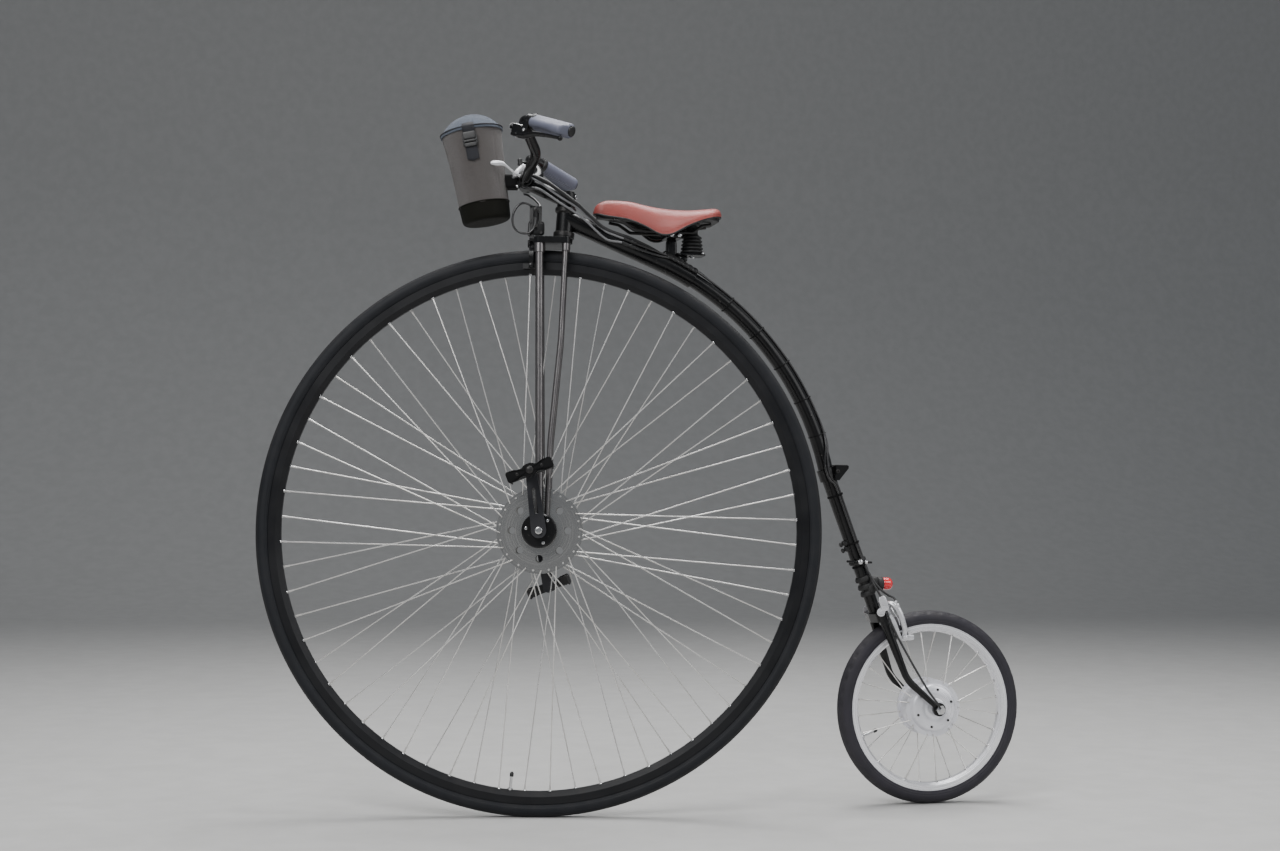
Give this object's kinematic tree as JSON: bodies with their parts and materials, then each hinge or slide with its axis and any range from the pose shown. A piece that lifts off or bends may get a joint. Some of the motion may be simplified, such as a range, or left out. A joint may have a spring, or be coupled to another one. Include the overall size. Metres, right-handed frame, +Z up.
{
  "type": "penny farthing bicycle",
  "caption": "High bicycle with a large wire-spoked front wheel with cranks on its hub, a small driven rear wheel, an arched backbone, a leather saddle and a handlebar bag.",
  "frame": {"origin": "the rider's seat point, on top of the saddle", "axes": "+X to the rear, +Y to the bicycle's right, +Z up; the bicycle stands upright on both tyres"},
  "size_m": [1.7103, 0.5879, 1.5158],
  "materials": {
    "frame_black": "satin",
    "steel_grey": "satin",
    "polished": "polished",
    "motor_silver": "satin",
    "wire": "bright",
    "rim_black": "satin",
    "tyre_black": "matte",
    "saddle_leather": "smooth",
    "saddle_shell": "matte",
    "black_rubber": "matte",
    "grip_grey": "matte",
    "bag_grey": "woven",
    "bag_black": "woven",
    "lamp_black": "gloss",
    "lens_red": "clear",
    "cable_grey": "gloss",
    "pedal_black": "matte"
  },
  "bodies": {
    "frame": {"backbone": "frame_black", "backbone_front": "frame_black", "head_tube": "frame_black", "lower_tube": "frame_black", "mounting_step": "frame_black", "rear_crown": "frame_black", "rear_blade_right": "frame_black", "rear_blade_left": "frame_black", "rear_axle": "polished", "rear_brake": "polished", "rear_brake_pads": "black_rubber", "tail_lamp": "lamp_black", "tail_lens": "lens_red", "saddle_cover": "saddle_leather", "saddle_base": "saddle_shell", "saddle_rails": "steel_grey", "saddle_clamp": "frame_black", "saddle_springs": "black_rubber", "rear_cable": "cable_grey"},
    "rear_wheel": {"rear_tyre": "tyre_black", "rear_rim": "polished", "rear_spokes": "wire", "motor_shell": "motor_silver"},
    "steering": {"fork_crown": "frame_black", "fork_right": "steel_grey", "fork_left": "steel_grey", "bearing_right": "frame_black", "bearing_left": "frame_black", "stem": "frame_black", "handlebar": "frame_black", "grip_right": "grip_grey", "grip_left": "grip_grey", "brake_perches": "polished", "lever_right": "frame_black", "lever_left": "frame_black", "bag_body": "bag_grey", "bag_base": "bag_black", "bag_lid": "bag_grey", "bag_bracket": "frame_black", "front_brake": "frame_black", "front_brake_pads": "black_rubber", "front_cable": "cable_grey"},
    "front_wheel": {"front_tyre": "tyre_black", "front_rim": "rim_black", "front_spokes": "wire", "front_hub": "polished", "crank_right": "frame_black", "crank_left": "frame_black"},
    "pedal_left": {"pedal_left": "pedal_black"},
    "pedal_right": {"pedal_right": "pedal_black"}
  },
  "joints": [
    {"name": "steering_turn", "type": "hinge", "parent": "frame", "child": "steering", "pos_m": [-0.3, 0, -0.7145], "axis": [0.0698, 0, 0.9976], "range_deg": [-28, 52]},
    {"name": "front_wheel_spin", "type": "hinge", "parent": "steering", "child": "front_wheel", "pos_m": [-0.3, 0, -0.7145], "axis": [0.2074, 0.9781, -0.0145], "continuous": true},
    {"name": "pedal_left_spin", "type": "hinge", "parent": "front_wheel", "child": "pedal_left", "pos_m": [-0.31641, 0.00532, -0.59069], "axis": [0.2074, 0.9781, -0.0145], "continuous": true},
    {"name": "pedal_right_spin", "type": "hinge", "parent": "front_wheel", "child": "pedal_right", "pos_m": [-0.28359, -0.00532, -0.8383], "axis": [0.2074, 0.9781, -0.0145], "continuous": true},
    {"name": "rear_wheel_spin", "type": "hinge", "parent": "frame", "child": "rear_wheel", "pos_m": [0.597, 0, -1.107], "axis": [0, 1, 0], "continuous": true}
  ]
}
